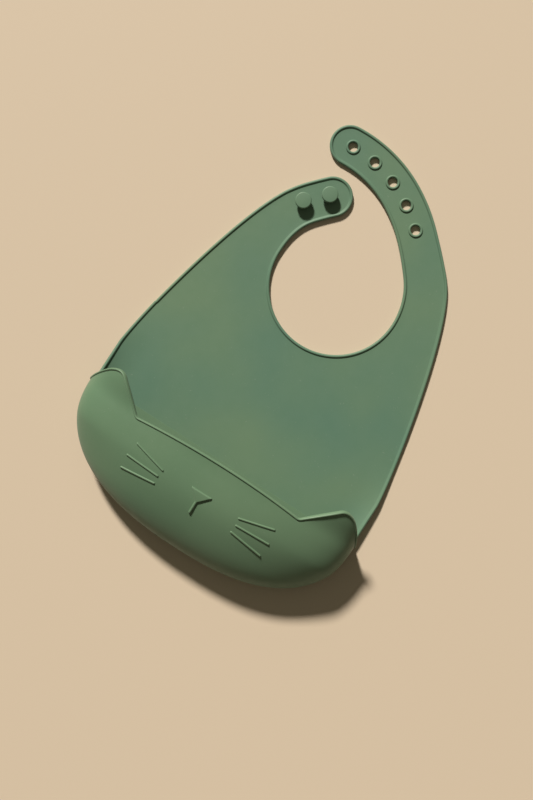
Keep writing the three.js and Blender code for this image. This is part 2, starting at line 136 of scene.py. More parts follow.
# bends of the arms, each (length along the arm, half the length over which it bends), and the cuts
# between them; beyond the strap's root these run through the middles of the holes
STRAP_BENDS = [(0, 12 * MM), (34 * MM, 12 * MM), (69 * MM, 6 * MM)]
STRAP_BENDS += [(HOLE_STARTS + HOLE_PITCH * (i - 0.5), 5.5 * MM) for i in range(1, HOLE_COUNT)]
STRAP_CUTS = (17 * MM, 51.5 * MM, *(HOLE_STARTS + HOLE_PITCH * i for i in range(HOLE_COUNT - 1)))
TAB_BENDS = [
    (0, 9 * MM),
    (ARM_RADIUS * math.radians(25), 7.5 * MM),
    (ARM_RADIUS * math.radians(44.7), 5 * MM),
]
TAB_CUTS = (ARM_RADIUS * math.radians(12.5), ARM_RADIUS * math.radians(36.3))

COLLAR_CUT_Y = 70 * MM
CHEST_CUT_Y = (pivot("chest_bend").y + pivot("collar_bend").y) / 2
CUT_SPARE = 12 * MM  # sheet made beyond the chest cut, for the cut to take off
PANEL_STEP = 1.5 * MM  # between the lower panel's rows

POCKET_Y = -45 * MM
POCKET_DROP = POCKET_Y - cad_low.y
POCKET_POWER = 2.3  # of the rounded outline; 2 would be an ellipse
POCKET_EDGE_Z = 16 * MM  # height of the pocket's widest line, round the bottom
MOUTH_END_Z = 4 * MM  # and at the mouth's ends, where it has come down to the panel's edge
MOUTH_END_REACH = 25 * MM  # stretch over which the one height changes to the other
POCKET_TOP_Z = 45.5 * MM
FRONT_FALL = 0.65  # power of the front's crown; the smaller, the later it rolls down to the outline
MOUTH_END_FALL = 0.25  # the same at the mouth's ends, where the sides stand up steeper
FALL_REACH = 45 * MM  # stretch over which the one changes to the other
FRONT_LEAN = -1.5 * MM  # the front's top leans to the left
FRONT_TWIST = 0.015  # and is turned a little, in radians
RIGHT_DROP = 0.035  # part by which the pocket hangs lower on its right side
BACK_FLAT = 0.6  # outline measure up to which the back lies flat
LIFT_END_Y = 20 * MM  # the panel's edges lie on the table from here up
SKIN = 2.4 * MM  # thickness of the pocket's wall

LIP_Y = -47.2 * MM  # at the notches
LIP_BOW = 3.6 * MM  # how much further up the lip runs in its middle
LIP_HALF_WIDTH = 1.0 * MM
LIP_HALF_HEIGHT = 1.9 * MM
LIP_SINK = 0.42  # part of the skin by which the middle of the lip's bead lies below its surface
NOTCH = np.array((64.6 * MM, LIP_Y))
EAR_TIP = np.array((90.5 * MM, -24.1 * MM))
EAR_SHOULDER = np.array((103.5 * MM, -31.5 * MM))  # handle of the ear's curved outer edge
EAR_LIFT = 6 * MM  # added to the front's crown towards the ears' tips
NOTCH_AT = 0.6  # place of the notch on the half mouth, 0 to 1
NOTCH_ROUND = 0.016  # reach of the rounding there
TIP_AT = 0.85
TIP_ROUND = 0.045
SIDE_ANGLE = math.radians(22)  # round the outline, from the mouth's end to the foot of the side

# how finely the pocket is divided
LIP_STEP = 0.02  # along the half mouth
EAR_STEP = 0.014
SIDE_BUNCHING = 1.8  # how strongly the stations crowd towards the mouth's ends
ROW_BUNCHING = 1.9  # and the rows towards the outline
TRAY_EVEN = 0.8  # part of the outline up to which the back's rings are evenly spaced
SEAM = 0.002 * MM  # vertices nearer than this are one

RIB_HALF_WIDTH = 0.7 * MM
RIB_HEIGHT = 0.8 * MM
RIB_DEPTH = 0.4 * MM  # how far the ribs reach into the skin
RIB_POWER = 0.8  # below 1, a rib's section is squarer than a half circle
RIB_BLUNTNESS = 0.06  # of its ends
RIB_END_STEPS = np.array((0, 0.1, 0.35, 0.7))  # mm from its end, while it rounds off
RIB_EVEN_FROM = 1.1  # mm from its end, where even steps begin

# each whisker's inner and outer end on the right half of the front, in mm
WHISKERS = (((29.5, -67.5), (55, -61)), ((30.5, -72.5), (57, -71.5)), ((30, -78), (56.5, -81.5)))

NOSE_TOP_Y = -65.5 * MM
NOSE_NECK_Y = -73 * MM  # where the triangle ends and its stem begins
NOSE_FOOT_Y = -82.5 * MM
NOSE_HALF_TOP = 8.3 * MM
NOSE_HALF_STEM = 1 * MM
NOSE_HEIGHT = 1.25 * MM
NOSE_ROUND = 0.9 * MM  # how far in from its outline the nose is rounded off
NOSE_CORNER = 0.7 * MM
NOSE_STEP = 0.45 * MM  # between its rows
NOSE_END_STEPS = (0.02, 0.1, 0.25, 0.45, 0.7)  # mm from its ends, while it rounds off

# ------------------------------------------------------------------ colours, light and camera

SHEET_TONES = ((0.122, 0.206, 0.128), (0.092, 0.183, 0.130))  # pale and deep
# painted light: the sheet's silicone again, made a little lighter and yellower on the pocket for the
# sheen its front catches; pale and deep
POCKET_TONES_PAINTED_LIGHTER = ((0.126, 0.212, 0.128), (0.104, 0.190, 0.114))
DUST = (0.5, 0.52, 0.48)
FLOOR_COLOUR = (0.6, 0.5, 0.39)
FLOOR_HALF_SIZE = 6.0
FLOOR_GAP = 0.05 * MM  # between the floor and the bib's back

KEY_FROM = (-0.62, 0.52, 0.58)
KEY_SIZE = math.radians(7)  # the wider, the softer its shadows
KEY_ENERGY = 5.3
KEY_COLOUR = (1.0, 0.94, 0.84)
SKY_COLOUR = (1.0, 0.92, 0.68)
SKY_OVERHEAD = 0.17
SKY_AT_HORIZON = 0.03

CAMERA_PLACE = (-5.7 * MM, 24 * MM, 720 * MM)
CAMERA_ROLL = math.radians(32.9)
CAMERA_SENSOR = 36
CAMERA_LENS = 45.4
CAMERA_SHIFT = (-0.00375, -0.029375)  # parts of the picture's height

# ------------------------------------------------------------------ small helpers

SHARP_FROM = math.radians(50)  # edges that turn by more are shaded sharp
TINY = 1e-7  # lengths below this count as none
CUT_TOLERANCE = 0.01 * MM  # a vertex nearer than this to a cutting plane lies on it


def mix(a, b, part):
    return a + (b - a) * part


def smooth(part):
    part = np.clip(part, 0, 1)
    return part * part * (3 - 2 * part)


def even(start, end, step):
    return np.linspace(start, end, max(2, int(round(abs(end - start) / step)) + 1))


def mirrored(points):
    return np.asarray(points) * (-1, 1)


def new_object(name, bm):
    """A smooth-shaded object, whose mesh keeps each point's rest position for the materials."""
    bmesh.ops.recalc_face_normals(bm, faces=bm.faces)
    mesh = bpy.data.meshes.new(name)
    bm.to_mesh(mesh)
    bm.free()
    mesh.shade_smooth()
    mesh.set_sharp_from_angle(angle=SHARP_FROM)
    rest = mesh.attributes.new("rest", "FLOAT_VECTOR", "POINT")
    places = np.zeros(len(mesh.vertices) * 3, np.float32)
    mesh.vertices.foreach_get("co", places)
    rest.data.foreach_set("vector", places)
    obj = bpy.data.objects.new(name, mesh)
    bpy.context.scene.collection.objects.link(obj)
    return obj


def loft(sections, closed=False):
    """A closed body through rings of points, one ring after another."""
    bm = bmesh.new()
    rings = [[bm.verts.new(point) for point in section] for section in sections]
    count = len(rings[0])
    follow = zip(rings, rings[1:] + rings[:1]) if closed else zip(rings, rings[1:])
    for here, there in follow:
        for i in range(count):
            k = (i + 1) % count
            bm.faces.new((here[i], here[k], there[k], there[i]))
    if not closed:
        bm.faces.new(rings[0][::-1])
        bm.faces.new(rings[-1])
    return bm


def join_rows(bm, rows, flipped=False):
    """Faces between rows of vertices, one row after another."""
    for here, there in zip(rows, rows[1:]):
        for i in range(len(here) - 1):
            corners = (here[i], here[i + 1], there[i + 1], there[i])
            bm.faces.new((corners[0], *corners[:0:-1]) if flipped else corners)


def lathe(profile, place, steps=64, closed=False):
    """A body turned about a vertical axis; profile is (radius, height) pairs."""
    sections = []
    for angle in np.arange(steps) * 2 * math.pi / steps:
        turn = (math.cos(angle), math.sin(angle))
        sections.append([(place.x + r * turn[0], place.y + r * turn[1], z) for r, z in profile])
    bm = loft(sections, closed=True)
    if not closed:
        bmesh.ops.remove_doubles(bm, verts=bm.verts, dist=TINY)
        bmesh.ops.holes_fill(bm, edges=bm.edges)
    return bm


# ------------------------------------------------------------------ the sheet's outline


def arm_point(length):
    """Point and heading after a length of the right arm, from the shoulder line on."""
    x, y, heading = ARM_RADIUS, NECK_Y, math.pi / 2
    for radius, reach in STRAP_ARCS:
        turn = min(length, reach) / radius
        x += radius * (math.sin(heading + turn) - math.sin(heading))
        y += radius * (math.cos(heading) - math.cos(heading + turn))
        heading += turn
        length -= min(length, reach)
    return np.array((x, y)), heading


def beside_arm(length, side, taper):
    """The right arm's edge; side is 1 away from the neck and -1 towards it."""
    place, heading = arm_point(length)
    narrowed = smooth((length - taper[0]) / (taper[1] - taper[0]))
    half = mix(ARM_WIDTH / 2, STRAP_HALF_WIDTH, narrowed)
    return place + side * half * np.array((math.sin(heading), -math.cos(heading)))


def arc(middle, radius, start, end):
    angles = np.linspace(start, end, 200)
    return np.column_stack((middle[0] + radius * np.cos(angles), middle[1] + radius * np.sin(angles)))


def side_curve(taper):
    """The panel's side, from the lower panel up to the arm with the given taper."""
    t = np.linspace(0, 1, 400)[:, None]
    top = beside_arm(SHOULDER_LENGTH, 1, taper)
    pull_top = top + SIDE_PULL_TOP * np.array((math.sin(SHOULDER_ANGLE), -math.cos(SHOULDER_ANGLE)))
    end = np.array((HALF_WIDTH, SIDE_END_Y))
    pull_end = end + np.array((0, SIDE_PULL_END))
    return (
        (1 - t) ** 3 * end
        + 3 * (1 - t) ** 2 * t * pull_end
        + 3 * (1 - t) * t**2 * pull_top
        + t**3 * top
    )


SIDE = side_curve(STRAP_TAPER)
SIDE_LEAN = np.hypot(1, np.gradient(SIDE[:, 0], SIDE[:, 1]))  # 1 / cosine of the side's slope


def half_width_at(y):
    return np.interp(y, SIDE[:, 1], SIDE[:, 0])


def arm_outline(taper, tip_length, step=0.5 * MM):
    """The right arm's outline from the shoulder, round its tip and back to the neck opening."""
    tip, heading = arm_point(tip_length)
    quarter = math.pi / 2
    outer = [beside_arm(length, 1, taper) for length in even(SHOULDER_LENGTH, tip_length, step)]
    inner = [beside_arm(length, -1, taper) for length in even(tip_length, 0, step)]
    return np.vstack((outer, arc(tip, STRAP_HALF_WIDTH, heading - quarter, heading + quarter), inner))


def sheet_outline(lowest, step=1.0 * MM):
    """The outline, anticlockwise from the lower right, and its outward normals."""
    left_side = side_curve(TAB_TAPER)
    parts = [
        SIDE[SIDE[:, 1] > lowest],
        arm_outline(STRAP_TAPER, STRAP_TIP),
        arc((0, NECK_Y), NECK_RADIUS, 0, -math.pi),
        mirrored(arm_outline(TAB_TAPER, TAB_TIP))[::-1],
        mirrored(left_side[left_side[:, 1] > lowest])[::-1],
    ]
    points = np.vstack(parts)
    length = np.concatenate(([0], np.cumsum(np.hypot(*np.diff(points, axis=0).T))))
    places = even(0, length[-1], step)
    points = np.column_stack([np.interp(places, length, points[:, k]) for k in range(2)])
    along = np.gradient(points, axis=0)
    along /= np.hypot(*along.T)[:, None]
    return points, np.column_stack((along[:, 1], -along[:, 0]))


def rim_profile():
    """(inset, height) from the top of the sheet, over the rolled rim, to its underside."""
    radius = RIM_WIDTH / 2
    middle = RIM_HEIGHT - radius
    fillet_middle = (RIM_WIDTH + RIM_FILLET * 0.35, SHEET + 0.03 * MM)
    top = [(RIM_WIDTH + RIM_FILLET, SHEET), fillet_middle]
    for angle in np.radians(np.linspace(RIM_FOOT, 180, 12)):
        top.append((radius + radius * math.cos(angle), middle + radius * math.sin(angle)))
    for angle in np.radians(np.linspace(0, 90, 4)):
        lower = EDGE_ROUND * (1 - math.sin(angle))
        top.append((EDGE_ROUND * (1 - math.cos(angle)), lower))
    return top


# ------------------------------------------------------------------ the flat part of the sheet


def inside(points, polygon):
    """Which points lie inside a closed polygon."""
    x, y = points[:, 0][:, None], points[:, 1][:, None]
    x0, y0 = polygon[:, 0], polygon[:, 1]
    x1, y1 = np.roll(x0, -1), np.roll(y0, -1)
    spans = (y0 > y) != (y1 > y)
    rise = np.where(y1 == y0, 1, y1 - y0)
    crossing = x0 + (y - y0) * (x1 - x0) / rise
    return np.count_nonzero(spans & (x < crossing), axis=1) % 2 == 1


def fill_region(bm, rings, height, spacing):
    """Triangles between an outer ring of vertices and its holes, with points spread over the inside."""
    outlines = [np.array([vert.co[:2] for vert in ring]) for ring in rings]
    low, high = outlines[0].min(0), outlines[0].max(0)
    grid = np.meshgrid(*(even(low[k], high[k], spacing) for k in range(2)))
    spread = np.column_stack([axis.ravel() for axis in grid])
    spread += np.sin(spread[:, ::-1] / spacing) * spacing / 9
    spread = spread[inside(spread, outlines[0])]
    for points in outlines:
        gaps = np.hypot(spread[:, None, 0] - points[:, 0], spread[:, None, 1] - points[:, 1])
        spread = spread[gaps.min(axis=1) > spacing * 0.6]
    for points in outlines[1:]:
        spread = spread[~inside(spread, points)]
    verts = [vert for ring in rings for vert in ring]
    inner = [bm.verts.new((x, y, height)) for x, y in spread]
    verts += inner
    edges = []
    start = 0
    for ring in rings:
        size = len(ring)
        edges += [(start + i, start + (i + 1) % size) for i in range(size)]
        start += size
    flat = [Vector(vert.co[:2]) for vert in verts]
    places, _, faces, origins, _, _ = delaunay_2d_cdt(flat, edges, [], 0, 1e-9)
    middles = np.array([np.mean([places[i] for i in face], axis=0) for face in faces])
    keep = inside(middles, outlines[0])
    for points in outlines[1:]:
        keep &= ~inside(middles, points)
    for face, kept in zip(faces, keep):
        if kept:
            bm.faces.new([verts[origins[i][0]] for i in face])
    return inner


def flat_sheet():
    """The whole sheet above the chest cut, with its rolled rim and the strap's holes."""
    points, outward = sheet_outline(lowest=CHEST_CUT_Y - CUT_SPARE)
    bm = bmesh.new()
    rings = []
    for inset, height in rim_profile():
        ring = points - outward * inset
        rings.append([bm.verts.new((x, y, height)) for x, y in ring])
    join_rows(bm, rings, flipped=True)
    upper = [rings[0]]
    lower = [rings[-1]]
    for index in range(HOLE_COUNT):
        top, bottom = hole_rings(bm, centre(f"eyelet_{index + 1}"))
        upper.append(top)
        lower.append(bottom)
    fill_region(bm, upper, SHEET, FILL_SPACING)
    fill_region(bm, lower, 0, FILL_SPACING)
    return bm


def hole_rings(bm, place, steps=40):
    """The wall of a hole through the sheet. Gives its upper and lower ring of vertices."""
    angles = (np.arange(steps) + 0.5) * 2 * math.pi / steps
    x = place.x + HOLE_RADIUS * np.cos(angles)
    y = place.y + HOLE_RADIUS * np.sin(angles)
    top, bottom = [[bm.verts.new((x[i], y[i], z)) for i in range(steps)] for z in (SHEET, 0)]
    for i in range(steps):
        k = (i + 1) % steps
        bm.faces.new((top[i], top[k], bottom[k], bottom[i]))
    return top, bottom


def cut(bm, place, keep_towards):
    """Keeps the side of a cutting plane that keep_towards points to, and closes the cut."""
    place = Vector((place[0], place[1], 0))
    normal = -Vector((keep_towards[0], keep_towards[1], 0))
    everything = bm.verts[:] + bm.edges[:] + bm.faces[:]
    bmesh.ops.bisect_plane(
        bm, geom=everything, dist=TINY, plane_co=place, plane_no=normal, clear_outer=True
    )
    rim = [edge for edge in bm.edges if edge.is_boundary and on_plane(edge, place, normal)]
    made = bmesh.ops.edgeloop_fill(bm, edges=rim)
    for face in made["faces"]:
        for edge in face.edges:
            edge.smooth = False


def on_plane(edge, place, normal):
    return all(abs((vert.co - place).dot(normal)) < CUT_TOLERANCE for vert in edge.verts)


def keep_part_near(bm, place):
    """Deletes all but the connected part that holds the vertex nearest to a place."""
    seed = min(bm.verts, key=lambda vert: (vert.co.xy - Vector(place)).length)
    found, waiting = {seed}, [seed]
    while waiting:
        vert = waiting.pop()
        for edge in vert.link_edges:
            other = edge.other_vert(vert)
            if other not in found:
                found.add(other)
                waiting.append(other)
    bmesh.ops.delete(bm, geom=[vert for vert in bm.verts if vert not in found], context="VERTS")


def arm_cut(length):
    """Place and heading of a cut across the right arm; lengths below 0 run down beside the neck."""
    if length < 0:
        return np.array((ARM_RADIUS, NECK_Y + length)), np.array((0, 1))
    place, heading = arm_point(length)
    return place, np.array((math.cos(heading), math.sin(heading)))


def tab_cut(length):
    """The same for the left arm, its length measured round the neck."""
    if length < 0:
        return np.array((-ARM_RADIUS, NECK_Y + length)), np.array((0, 1))
    angle = math.pi - length / ARM_RADIUS
    place = np.array((0, NECK_Y)) + ARM_RADIUS * np.array((math.cos(angle), math.sin(angle)))
    return place, np.array((math.sin(angle), -math.cos(angle)))


def bent_piece(name, bm, nodes):
    """Makes the object, bakes its place into its mesh, and hides the CAD parts it stands for."""
    obj = new_object(name, bm)
    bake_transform(obj)
    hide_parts(*nodes)
    return obj


def arm_pieces(sheet, cutter, cuts, bends, bodies, prefix):
    """Cuts one arm into pieces, each reaching across one of its bends, from one body to the next."""
    arm = sheet.copy()
    first, upwards = cutter(cuts[0])
    cut(arm, first, upwards)
    keep_part_near(arm, first)
    made = []
    for i, (hinge, reach) in enumerate(bends):
        piece = arm.copy()
        if i > 0:
            cut(piece, *cutter(cuts[i]))
        if i + 1 < len(cuts):
            place, heading = cutter(cuts[i + 1])
            cut(piece, place, -heading)
        zone = (cutter(hinge - reach)[0], cutter(hinge + reach)[0])
        pair = bodies[i : i + 2]
        made.append(bent_piece(f"{prefix}_{i}", piece, pair[1:]))
    arm.free()
    return made


def make_flat_pieces():
    """The collar, the strap's pieces and the tab's, all cut from the one sheet."""
    sheet = flat_sheet()
    collar = sheet.copy()
    cut(collar, (0, CHEST_CUT_Y), (0, 1))
    cut(collar, (0, COLLAR_CUT_Y), (0, -1))
    pieces = [bent_piece("collar_skin", collar, ["collar"])]

    arm_start = COLLAR_CUT_Y - NECK_Y
    holes = [f"strap_hole_{i}" for i in range(1, HOLE_COUNT + 1)]
    bodies = ["neck", "shoulder_right", "strap_root", *holes]
    pieces += arm_pieces(
        sheet, arm_cut, (arm_start, *STRAP_CUTS), STRAP_BENDS, bodies, "strap_skin"
    )
    bodies = ["neck", "shoulder_left", "tab_inner", "tab_outer"]
    pieces += arm_pieces(sheet, tab_cut, (arm_start, *TAB_CUTS), TAB_BENDS, bodies, "tab_skin")
    sheet.free()
    return pieces


# ------------------------------------------------------------------ eyelets and studs


def make_eyelets():
    """A ring round each hole of the strap, with a rolled crown and a chamfered bore."""
    middle = (EYELET_INNER + EYELET_OUTER) / 2
    half = (EYELET_OUTER - EYELET_INNER) / 2
    roll = RIM_HEIGHT - half
    profile = [(EYELET_INNER, EYELET_CHAMFER), (EYELET_INNER, roll)]
    for angle in np.radians(np.linspace(180, 0, 9)):
        profile.append((middle + half * math.cos(angle), roll + half * math.sin(angle)))
    profile += [
        (EYELET_OUTER, SHEET - EYELET_SKIRT),
        (HOLE_RADIUS, SHEET - EYELET_FOOT),
        (HOLE_RADIUS, 0),
        (EYELET_INNER + EYELET_CHAMFER, 0),
    ]
    pieces = []
    for i in range(1, HOLE_COUNT + 1):
        ring = new_object(f"eyelet_ring_{i}", lathe(profile, centre(f"eyelet_{i}"), closed=True))
        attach(ring, f"strap_hole_{i}")
        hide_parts(f"eyelet_{i}")
        pieces.append(ring)
    return pieces


def make_studs():
    """Two buttons: a filleted neck standing on the tab, and a flat head with rounded edges."""
    low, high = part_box("stud_inner")
    straight = (high.x - low.x) / 2 - STUD_ROUND  # the head's flat part
    profile = [(0, SHEET / 2), (STUD_NECK + STUD_FOOT[0][0] * MM, SHEET / 2)]
    profile += [(STUD_NECK + out * MM, SHEET + up * MM) for out, up in STUD_FOOT]
    profile += [(STUD_NECK + out * MM, STUD_HEAD_Z + up * MM) for out, up in STUD_COLLAR]
    lower_edge = STUD_HEAD_Z + STUD_ROUND
    upper_edge = high.z - STUD_ROUND
    for angle in np.radians(np.linspace(-80, 0, 5)):
        height = lower_edge + STUD_ROUND * math.sin(angle)
        profile.append((straight + STUD_ROUND * math.cos(angle), height))
    for angle in np.radians(np.linspace(0, 90, 7)):
        height = upper_edge + STUD_ROUND * math.sin(angle)
        profile.append((straight + STUD_ROUND * math.cos(angle), height))
    profile.append((0, high.z + STUD_CROWN))
    pieces = []
    for which, body in (("inner", "tab_inner"), ("outer", "tab_outer")):
        node = f"stud_{which}"
        stud = new_object(f"stud_knob_{which}", lathe(profile, centre(node)))
        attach(stud, body)
        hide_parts(node)
        pieces.append(stud)
    return pieces


# ------------------------------------------------------------------ the lower panel


def outline_measure(x, y):
    """0 on the midline down to POCKET_Y, growing to 1 on the outline."""
    across = np.abs(x) / half_width_at(y)
    down = np.maximum(0, POCKET_Y - y) / POCKET_DROP
    return across**POCKET_POWER + down**POCKET_POWER


def below_mouth(y):
    """0 at the mouth's ends and above, 1 where the pocket has its full roundness."""
    return smooth((POCKET_Y - y) / MOUTH_END_REACH)


def edge_height(y):
    """Height of the widest line, where the front and the back of the pocket meet."""
    return mix(MOUTH_END_Z, POCKET_EDGE_Z, below_mouth(y))


def back_height(x, y):
    """Height of the back face: flat, rolling up towards the edges of the lower panel."""
    fade = smooth((LIFT_END_Y - y) / (LIFT_END_Y - POCKET_Y))
    part = np.clip((outline_measure(x, y) - BACK_FLAT) / (1 - BACK_FLAT), 0, 1)
    return edge_height(y) * fade * (1 - (1 - part**2) ** mix(1, 0.5, below_mouth(y)))


def panel_section(y):
    """Closed ring round the lower panel's cross-section at a height y."""
    half = half_width_at(y)
    x = half * np.sin(np.linspace(0, math.pi / 2, 300))
    z = back_height(x, np.full_like(x, y))
    length = np.concatenate(([0], np.cumsum(np.hypot(np.diff(x), np.diff(z)))))
    lean = np.interp(y, SIDE[:, 1], SIDE_LEAN) if y > SIDE_END_Y else 1
    slope = np.gradient(z, x)

    def place(inset, height):
        at = length[-1] - inset
        tilt = np.interp(at, length, slope)
        normal = np.array((-tilt, 1)) / math.hypot(tilt, 1)
        return np.array((np.interp(at, length, x), np.interp(at, length, z))) + height * normal

    rim = [place(inset * lean, height) for inset, height in rim_profile()]
    spread = 1 - np.sin(np.linspace(0, math.pi / 2, 30))
    rim_start, rim_end = (rim_profile()[k][0] * lean for k in (0, -1))
    top = [place(mix(rim_start, length[-1], part), SHEET) for part in np.sort(spread)[::-1][:-1]]
    bottom = [place(mix(rim_end, length[-1], part), 0) for part in np.sort(spread)[1:]]
    right = top + rim + bottom
    left = [point * (-1, 1) for point in right[-2:0:-1]]
    return [(point[0], y, point[1]) for point in right + left]


def make_lower_panel():
    """The panel from the chest cut down to the pocket, its rows closer together at the end."""
    last_rows = POCKET_Y + np.array((1.3, 0.6, 0)) * MM
    rows = np.concatenate((even(CHEST_CUT_Y, POCKET_Y + 2 * MM, PANEL_STEP), last_rows))
    bm = loft([panel_section(y) for y in rows])
    nodes = ["lap_panel", "chest_panel"]
    return [bent_piece("panel_skin", bm, nodes)]


# ------------------------------------------------------------------ the pocket


def front_height(x, y):
    """Height of the pocket's front before it leans and hangs."""
    measure = np.clip(outline_measure(x, y), 0, 1)
    crown = (1 - measure) ** mix(MOUTH_END_FALL, FRONT_FALL, smooth((POCKET_Y - y) / FALL_REACH))
    ear = smooth((y - LIP_Y) / (EAR_TIP[1] - LIP_Y))
    return mix(edge_height(y), POCKET_TOP_Z, crown) + EAR_LIFT * ear * crown


def hanging(x, y, height):
    """A place on the pocket, let down a little on the right."""
    drop = RIGHT_DROP * smooth(x / HALF_WIDTH) * max(0, POCKET_Y - y)
    return Vector((x, y - drop, height))


def front_place(x, y):
    """The place on the pocket's front that belongs to a point of its plan."""
    height = float(front_height(x, y))
    edge = edge_height(y)
    lean = (height - edge) / (POCKET_TOP_Z - edge)
    return hanging(x, y, height) + Vector((FRONT_LEAN * lean, FRONT_TWIST * x * lean, 0))


def pocket_outline(angle, scale=1):
    """Point of the pocket's outline, from the right mouth end (0) round the bottom to the left (pi)."""
    across, down = math.cos(angle), math.sin(angle)
    power = 2 / POCKET_POWER
    return np.array((
        scale * HALF_WIDTH * math.copysign(abs(across) ** power, across),
        POCKET_Y - scale * POCKET_DROP * abs(down) ** power,
    ))


def sharp_mouth(part):
    """Point of the right half of the mouth's edge, with its notch and ear tip left sharp."""
    if part < NOTCH_AT:
        return np.array((NOTCH[0] * part / NOTCH_AT, LIP_Y + LIP_BOW * (1 - (part / NOTCH_AT) ** 2)))
    if part < TIP_AT:
        return mix(NOTCH, EAR_TIP, (part - NOTCH_AT) / (TIP_AT - NOTCH_AT))
    end = np.array((HALF_WIDTH, POCKET_Y))
    down = (part - TIP_AT) / (1 - TIP_AT)
    return mix(mix(EAR_TIP, EAR_SHOULDER, down), mix(EAR_SHOULDER, end, down), down)


def mouth_edge(part):
    """The same with both corners rounded, from the midline (0) to the mouth end (1)."""
    for at, corner, reach in ((NOTCH_AT, NOTCH, NOTCH_ROUND), (TIP_AT, EAR_TIP, TIP_ROUND)):
        if abs(part - at) < reach:
            step = (part - at + reach) / (2 * reach)
            before, after = sharp_mouth(at - reach), sharp_mouth(at + reach)
            return mix(mix(before, corner, step), mix(corner, after, step), step)
    return sharp_mouth(part)


def front_plan(s, t):
    """Point of the front's plan, s from -1 (left) to 1, t from the outline (0) to the mouth (1)."""
    part = abs(s)
    base = pocket_outline(mix(math.pi / 2, SIDE_ANGLE, part))
    straight_side = mix(pocket_outline(SIDE_ANGLE), mouth_edge(1), t)
    bow = pocket_outline(SIDE_ANGLE * (1 - t)) - straight_side
    point = mix(base, mouth_edge(part), t) + bow * part**4
    return mirrored(point) if s < 0 else point


def front_point(plan, raised=0.0):
    """A place on the pocket's front, or raised above it."""
    step = 0.2 * MM
    x, y = plan
    slope_x = (front_height(x + step, y) - front_height(x - step, y)) / (2 * step)
    slope_y = (front_height(x, y + step) - front_height(x, y - step)) / (2 * step)
    normal = Vector((-slope_x, -slope_y, 1)).normalized()
    return front_place(x, y) + raised * normal


def mouth_stations():
    """Places along the mouth from -1 (left) to 1, closer together round its corners and ends."""
    lip = even(0, NOTCH_AT - NOTCH_ROUND, LIP_STEP)
    notch = np.linspace(NOTCH_AT - NOTCH_ROUND, NOTCH_AT + NOTCH_ROUND, 6)
    ear = even(NOTCH_AT + NOTCH_ROUND, TIP_AT - TIP_ROUND, EAR_STEP)
    tip = np.linspace(TIP_AT - TIP_ROUND, TIP_AT + TIP_ROUND, 12)
    rest = 1 - (1 - TIP_AT - TIP_ROUND) * np.linspace(1, 0, 14) ** SIDE_BUNCHING
    half = np.concatenate((lip, notch[1:], ear[1:], tip[1:], rest[1:]))
    return np.concatenate((-half[:0:-1], half))


def front_vertices(bm, rows, stations):
    """Rows of vertices over the pocket's front, from its outline up to the mouth."""
    grid = []
    for t in rows:
        line = []
        for s in stations:
            plan = front_plan(s, t)
            on_edge = t == 0 or abs(s) == 1
            place = hanging(*plan, edge_height(plan[1])) if on_edge else front_place(*plan)
            line.append(bm.verts.new(place))
        grid.append(line)
    return grid


def outline_angles(rows, stations):
    """Angles round the outline that meet the front's vertices there, from right to left."""
    right = [SIDE_ANGLE * (1 - t) for t in rows[::-1]]
    bottom = [mix(math.pi / 2, SIDE_ANGLE, abs(s)) for s in stations[::-1]]
    bottom = [angle if s > 0 else math.pi - angle for angle, s in zip(bottom, stations[::-1])]
    left = [math.pi - angle for angle in right[::-1]]
    return right[:-1] + bottom[:-1] + left


def back_vertices(bm, angles):
    """Rows of vertices over the pocket's back, from the middle of its top edge to the outline."""
    flat = np.linspace(0, TRAY_EVEN, 12)
    rolled = mix(TRAY_EVEN, 1.0, np.sin(np.linspace(0, math.pi / 2, 16)))
    grid = []
    for scale in np.concatenate((flat, rolled[1:])):
        line = []
        for angle in angles:
            x, y = pocket_outline(angle, scale)
            height = edge_height(y) if scale == 1 else float(back_height(x, y))
            line.append(bm.verts.new(hanging(x, y, height)))
        grid.append(line)
    return grid


def outer_surface(bm):
    """The pocket's outside, front and back welded along the outline. Gives the mouth's places."""
    stations = mouth_stations()
    rows = np.linspace(0, 1, 30) ** ROW_BUNCHING
    front = front_vertices(bm, rows, stations)
    join_rows(bm, front)
    join_rows(bm, back_vertices(bm, outline_angles(rows, stations)), flipped=True)
    mouth = [vert.co.copy() for vert in front[-1]]
    bmesh.ops.remove_doubles(bm, verts=bm.verts, dist=SEAM)
    bmesh.ops.recalc_face_normals(bm, faces=bm.faces)
    highest = max(bm.faces, key=lambda face: face.calc_center_median().z)
    if highest.normal.z < 0:
        bmesh.ops.reverse_faces(bm, faces=bm.faces)
    bm.normal_update()
    return mouth


def thicken(bm, thickness):
    """Gives an open surface an inside, a thickness behind it, and joins the two round its border."""
    inner = {}
    for vert in bm.verts[:]:
        shift = vert.normal.copy()
        if abs(vert.co.y - POCKET_Y) < TINY and vert.co.z < MOUTH_END_Z + TINY:
            shift.y = 0
            shift.normalize()
        inner[vert] = bm.verts.new(vert.co - shift * thickness)
    border = [edge for edge in bm.edges if edge.is_boundary]
    for face in bm.faces[:]:
        bm.faces.new([inner[vert] for vert in reversed(face.verts)])
    for edge in border:
        loop = edge.link_loops[0]
        start, end = loop.vert, loop.link_loop_next.vert
        bm.faces.new((end, start, inner[start], inner[end]))


def ride_on_pocket(obj, nodes):
    """Bakes the object's place into its mesh and hides the CAD parts it stands for."""
    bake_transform(obj)
    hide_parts(*nodes)
    return obj


def tube(points, normals, half_width, half_height, steps=16):
    """A bead along points, its width lying in the surface and its height along the normals."""
    sections = []
    count = len(points)
    for i in range(count):
        along = (points[min(i + 1, count - 1)] - points[max(i - 1, 0)]).normalized()
        across = along.cross(normals[i]).normalized()
        upright = across.cross(along)
        ring = []
        for angle in np.arange(steps) * 2 * math.pi / steps:
            sideways = across * half_width * math.cos(angle)
            ring.append(points[i] + sideways + upright * half_height * math.sin(angle))
        sections.append(ring)
    return loft(sections)


